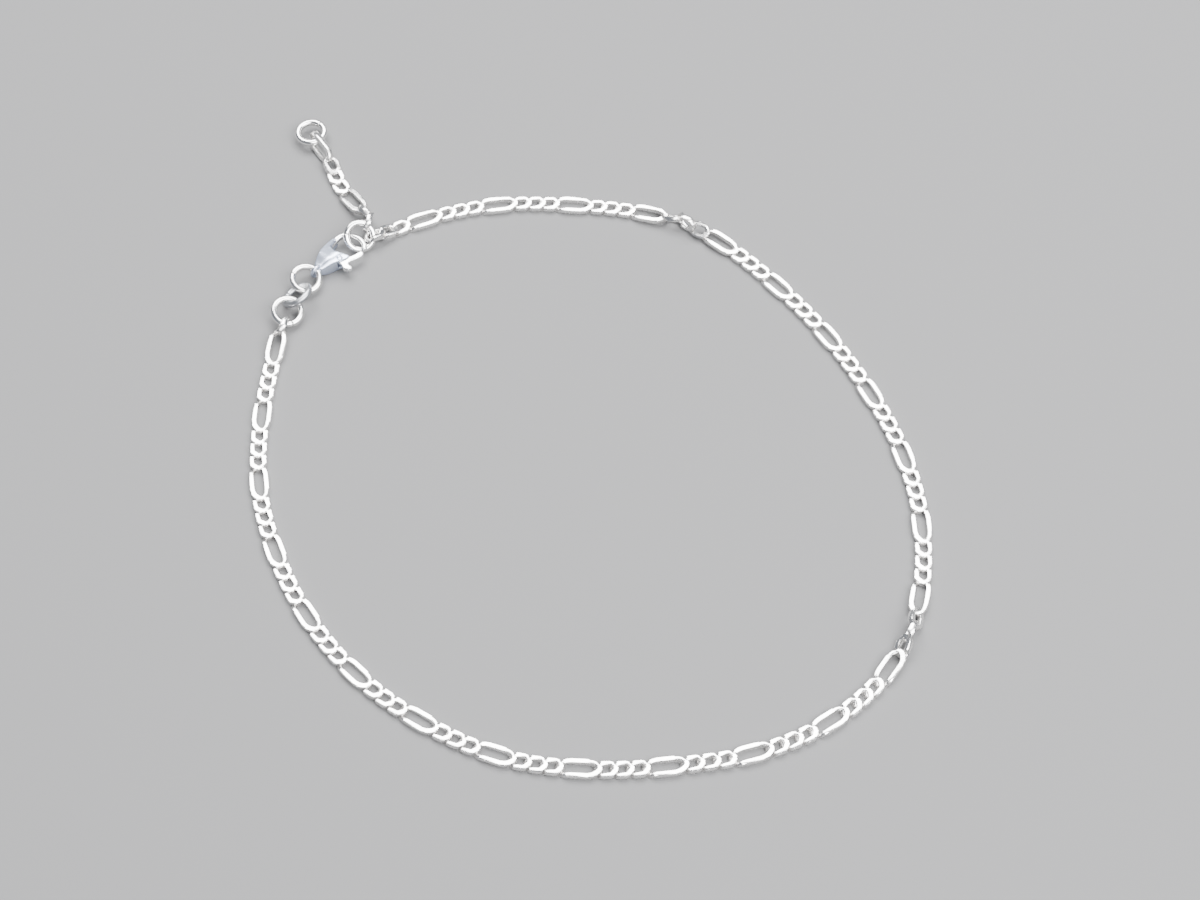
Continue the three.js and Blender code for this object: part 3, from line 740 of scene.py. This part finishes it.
# Cutters reach well past what they cut
CUT_LOW = -1
CUT_HIGH = 4
CUT_BELOW = -5
CUT_FAR = 7


def ease(value, low, high):
    t = min(max((value - low) / (high - low), 0), 1)
    return t * t * (3 - 2 * t)


def even_outline(points, count):
    """The same outline as points at even distances, with the inward direction of each."""
    curve = through(points, True, OUTLINE_STEPS)
    reach = lengths_along(curve)
    marks = np.linspace(0, reach[-1], count + 1)[:-1]
    spots = np.stack([np.interp(marks, reach, curve[:, axis]) for axis in (0, 1)], 1)
    ahead = np.roll(spots, -1, 0) - np.roll(spots, 1, 0)
    inward = np.stack([-ahead[:, 1], ahead[:, 0]], 1) / np.linalg.norm(ahead, axis=1)[:, None]
    return spots, inward


def closed_shell(name, rings, first_tip, last_tip, paints):
    """A closed mesh over rings of points with a tip at each end."""
    size = len(rings[0])
    points = [first_tip, *(point for ring in rings for point in ring), last_tip]
    faces, last = [], len(points) - 1
    for k in range(size):
        after = (k + 1) % size
        faces.append((0, 1 + after, 1 + k))
        for i in range(len(rings) - 1):
            low, high = 1 + i * size, 1 + (i + 1) * size
            faces.append((low + k, low + after, high + after, high + k))
        low = 1 + (len(rings) - 1) * size
        faces.append((low + k, low + after, last))
    mesh = bpy.data.meshes.new(name)
    mesh.from_pydata([Vector(point) * MM for point in points], [], faces)
    for paint in paints:
        mesh.materials.append(paint)
    work = bmesh.new()
    work.from_mesh(mesh)
    bmesh.ops.recalc_face_normals(work, faces=work.faces)
    work.to_mesh(mesh)
    work.free()
    mesh.shade_smooth()
    return mesh


def crowned_plate(name, outline, heart, profile, top, bottom, paints):
    """A plate whose rim follows profile (inset, share of the height) and whose two faces
    run in from the rim to the heart at the heights that top and bottom give."""
    spots, inward = even_outline(outline, OUTLINE_POINTS)
    rings = []

    def level(inset, share, keep=1.0):
        ring = []
        for spot, way in zip(spots, inward):
            point = Vector(spot + way * inset)
            point = heart + (point - heart) * keep
            low, high = bottom(point.x, point.y), top(point.x, point.y)
            ring.append((point.x, point.y, low + (high - low) * share))
        rings.append(ring)

    edge = profile[0][0]
    for keep in UNDER_SHARES:
        level(edge, 0, keep)
    for inset, share in profile:
        level(inset, share)
    edge = profile[-1][0]
    for keep in UPPER_SHARES:
        level(edge, 1, keep)
    tips = [(heart.x, heart.y, face(heart.x, heart.y)) for face in (bottom, top)]
    return closed_shell(name, rings, *tips, paints)


def bar(name, line, height, start, end, paints):
    """A round bar along a flat line, tapered from start to end, with a rounded nose."""
    curve = through(line, False, LINE_STEPS)
    reach = lengths_along(curve)
    rings = []
    for i in range(BAR_STEPS + 1):
        mark = reach[-1] * i / BAR_STEPS
        spot = spot_at(curve, reach, mark)
        ahead = (spot_at(curve, reach, mark + BAR_NUDGE)
                 - spot_at(curve, reach, min(mark, reach[-1] - BAR_NUDGE))).normalized()
        radius = (start + (end - start) * i / BAR_STEPS) / 2
        left = reach[-1] - mark
        if left < radius:
            radius = math.sqrt(max(radius ** 2 - (radius - left) ** 2, 1e-4))
        side = Vector((ahead.y, -ahead.x))
        rings.append([(spot.x + side.x * radius * math.cos(a),
                       spot.y + side.y * radius * math.cos(a), height + radius * math.sin(a))
                      for a in (TURN * k / BAR_SIDES for k in range(BAR_SIDES))])
    ends = [np.mean(ring, axis=0) for ring in (rings[0], rings[-1])]
    return closed_shell(name, rings, tuple(ends[0]), tuple(ends[1]), paints)


def body_top(x, y):
    """The body's upper face: low at the eye, with a soft ridge above a steeper lower facet."""
    off = (y - RIDGE_AT_EYE - RIDGE_SLOPE * x) / RIDGE_SOFTNESS
    lever_side, back = (RIDGE_SOFTNESS * math.log1p(math.exp(min(way, 30))) for way in (-off, off))
    high = EYE_TOP + BODY_SWELL * ease(x, *SWELL_RANGE)
    return high - LEVER_SIDE_FALL * lever_side - BACK_FALL * back


def body_bottom(x, y):
    return EYE_UNDER * (1 - ease(x, *UNDER_RANGE)) + BODY_UNDER


def joined(name, meshes):
    """Several closed shells as one mesh object; their metals keep their places."""
    work = bmesh.new()
    paints = []
    for mesh in meshes:
        fresh = len(work.faces)
        work.from_mesh(mesh)
        work.faces.ensure_lookup_table()
        for face in work.faces[fresh:]:
            paint = mesh.materials[face.material_index]
            if paint not in paints:
                paints.append(paint)
            face.material_index = paints.index(paint)
    out = bpy.data.meshes.new(name)
    work.to_mesh(out)
    work.free()
    for paint in paints:
        out.materials.append(paint)
    obj = bpy.data.objects.new(name, out)
    bpy.context.scene.collection.objects.link(obj)
    return obj


def box_mesh(name, low, high):
    """A box between two corners, to cut with."""
    work = bmesh.new()
    bmesh.ops.create_cube(work, size=1)
    for vert in work.verts:
        vert.co = Vector([(low[i] + high[i]) / 2 + vert.co[i] * (high[i] - low[i])
                          for i in range(3)]) * MM
    mesh = bpy.data.meshes.new(name)
    work.to_mesh(mesh)
    work.free()
    return mesh


def pin_mesh(name, diameter, low, high, paints):
    """A round pin with chamfered ends; high gives the height of its upper end at each point."""
    rings = []
    for upper, inset, share in ((False, 0, PIN_END_SHARE), (False, PIN_CHAMFER, 1),
                                (True, -PIN_CHAMFER, 1), (True, 0, PIN_END_SHARE)):
        ring = []
        for k in range(PIN_SIDES):
            x = PIVOT[0] + diameter / 2 * share * math.cos(TURN * k / PIN_SIDES)
            y = PIVOT[1] + diameter / 2 * share * math.sin(TURN * k / PIN_SIDES)
            ring.append((x, y, (high(x, y) if upper else low) + inset))
        rings.append(ring)
    return closed_shell(name, rings, (*PIVOT, low), (*PIVOT, high(*PIVOT) + PIN_CROWN), paints)


def bore_mesh(play, paint):
    """What the pin's hole takes away from a piece that it runs through."""
    return pin_mesh("bore", PIN_DIAMETER + play, CUT_LOW, lambda x, y: CUT_HIGH, [paint])


def cut_out(mesh, *cutters):
    """The mesh with the cutters taken away from it."""
    obj = bpy.data.objects.new(mesh.name, mesh)
    bpy.context.scene.collection.objects.link(obj)
    tools = []
    for cutter in cutters:
        tool = bpy.data.objects.new(cutter.name, cutter)
        bpy.context.scene.collection.objects.link(tool)
        tools.append(tool)
        cut = obj.modifiers.new("Cut", "BOOLEAN")
        cut.operation, cut.solver, cut.object = "DIFFERENCE", "EXACT", tool
    graph = bpy.context.evaluated_depsgraph_get()
    result = bpy.data.meshes.new_from_object(obj.evaluated_get(graph), depsgraph=graph)
    for done in (obj, *tools):
        bpy.data.objects.remove(done)
    return result


def on_clasp(obj):
    """Moves a piece from the clasp's own frame to its place."""
    matrix = from_drawing(clasp_frame)
    matrix.translation *= MM
    obj.data.transform(matrix)
    return obj


# The cast body with its hook and its eye
slot_half = LEVER_THICKNESS / 2 + LEVER_PLAY
slot = box_mesh("slot", (PIVOT[0] - SLOT_BEHIND_PIVOT, CUT_BELOW, HOOK_MIDDLE - slot_half),
                (CUT_FAR, PIVOT[1] + SLOT_BESIDE_PIVOT, HOOK_MIDDLE + slot_half))
body = crowned_plate("body", BODY_OUTLINE, BODY_HEART, BODY_RIM, body_top, body_bottom,
                     [cast_metal_painted_reflection])
body = cut_out(body, slot, bore_mesh(BODY_BORE_PLAY, cast_metal_painted_reflection))
hook = bar("hook", HOOK_LINE, HOOK_MIDDLE, HOOK_WIRE, NOSE_WIRE, [gate_metal])
loop = grown("eye", ring_shape, {
    "Radius": (EYE_INSIDE + EYE_WIRE) / 2 * MM, "Wire": EYE_WIRE * MM, "Seam place": 0.0,
    "Seam width": EYE_SEAM_WIDTH * MM, "Seam depth": 0.0, "Path steps": EYE_STEPS,
    "Wire sides": RING_SIDES, "Metal": cast_metal_painted_reflection})
loop.data.transform(Matrix.Translation((0, 0, CLASP_THICKNESS / 2 * MM))
                    @ Matrix.Rotation(math.pi / 2, 4, "X"))
eye_mesh = loop.data
bpy.data.objects.remove(loop)
clasp = on_clasp(joined("cast_clasp", [body, hook, eye_mesh]))
finished(clasp, "root", ["clasp_body"])

# The lever, drawn round the pin and then moved to it
lever = crowned_plate("lever", LEVER_OUTLINE, LEVER_HEART, LEVER_RIM,
                      lambda x, y: HOOK_MIDDLE + LEVER_THICKNESS / 2,
                      lambda x, y: HOOK_MIDDLE - LEVER_THICKNESS / 2, [gate_metal])
lever.transform(Matrix.Translation((PIVOT[0] * MM, PIVOT[1] * MM, 0)))
lever = cut_out(lever, bore_mesh(LEVER_BORE_PLAY, gate_metal))
lever = on_clasp(joined("trigger_lever", [lever]))
finished(lever, "lever", ["clasp_lever"])

# The pin, filed off along the body's upper face
pin = on_clasp(joined("lever_pin", [pin_mesh(
    "pin", PIN_DIAMETER, PIN_FOOT, lambda x, y: body_top(x, y) - PIN_SUNK, [cast_metal_painted_reflection])]))
finished(pin, "root", ["clasp_pin"])


# Stage
FLOOR_REACH = 3
FLOOR_COLOUR = (0.12, 0.12, 0.122, 1)
ROOM_COLOUR = (0.8, 0.85, 0.95, 1)


def flat_light(name, place, size, power):
    """A soft rectangular light that looks at the middle of the anklet."""
    light = bpy.data.lights.new(name, "AREA")
    light.shape = "RECTANGLE"
    light.size, light.size_y = size
    light.energy = power
    obj = bpy.data.objects.new(name, light)
    obj.location = place
    obj.rotation_euler = (-Vector(place)).to_track_quat("-Z", "Y").to_euler()
    bpy.context.scene.collection.objects.link(obj)


floor_mesh = bpy.data.meshes.new("floor")
floor_corners = [(x * FLOOR_REACH, y * FLOOR_REACH, 0)
                 for x, y in ((-1, -1), (1, -1), (1, 1), (-1, 1))]
floor_mesh.from_pydata(floor_corners, [], [(0, 1, 2, 3)])
floor = bpy.data.objects.new("floor", floor_mesh)
bpy.context.scene.collection.objects.link(floor)
floor_paint = bpy.data.materials.new("Pale floor")
floor_paint.use_nodes = True
floor_shader = floor_paint.node_tree.nodes["Principled BSDF"]
floor_shader.inputs["Base Color"].default_value = FLOOR_COLOUR
floor_shader.inputs["Roughness"].default_value = 0.7
floor_mesh.materials.append(floor_paint)

world = bpy.data.worlds.new("Soft room")
world.use_nodes = True
room = world.node_tree.nodes["Background"]
room.inputs["Color"].default_value = ROOM_COLOUR
room.inputs["Strength"].default_value = 0.3
bpy.context.scene.world = world

flat_light("Broad light beyond", (0.0, 0.38, 0.6), (0.8, 0.5), 22)
flat_light("Side light", (0.58, -0.18, 0.62), (0.45, 0.5), 12)
flat_light("Near light", (0.22, -0.42, 0.6), (0.6, 0.5), 14)

# Camera, solved from the photo of 1200 by 900 pixels
PHOTO_WIDTH = 1200
PHOTO_FOCUS = 2577.4
SENSOR_WIDTH = 36
NEAREST_SEEN = 0.01
CAMERA_FOOT = Vector((-0.2422, -168.0502, 276.7))
tilt, roll = math.radians(57.877), math.radians(-3.2477)
across, down = Vector((1, 0, 0)), Vector((0, -math.sin(tilt), -math.cos(tilt)))
right = across * math.cos(roll) - down * math.sin(roll)
below = across * math.sin(roll) + down * math.cos(roll)
forward = Vector((0, math.cos(tilt), -math.sin(tilt)))
camera_data = bpy.data.cameras.new("Camera")
camera_data.sensor_width = SENSOR_WIDTH
camera_data.lens = SENSOR_WIDTH * PHOTO_FOCUS / PHOTO_WIDTH
camera_data.clip_start = NEAREST_SEEN
camera = bpy.data.objects.new("Camera", camera_data)
camera.matrix_world = (Matrix.Translation((CAMERA_FOOT - DRAWING_ORIGIN) * MM)
                       @ Matrix((right, -below, -forward)).transposed().to_4x4())
bpy.context.scene.collection.objects.link(camera)
bpy.context.scene.camera = camera
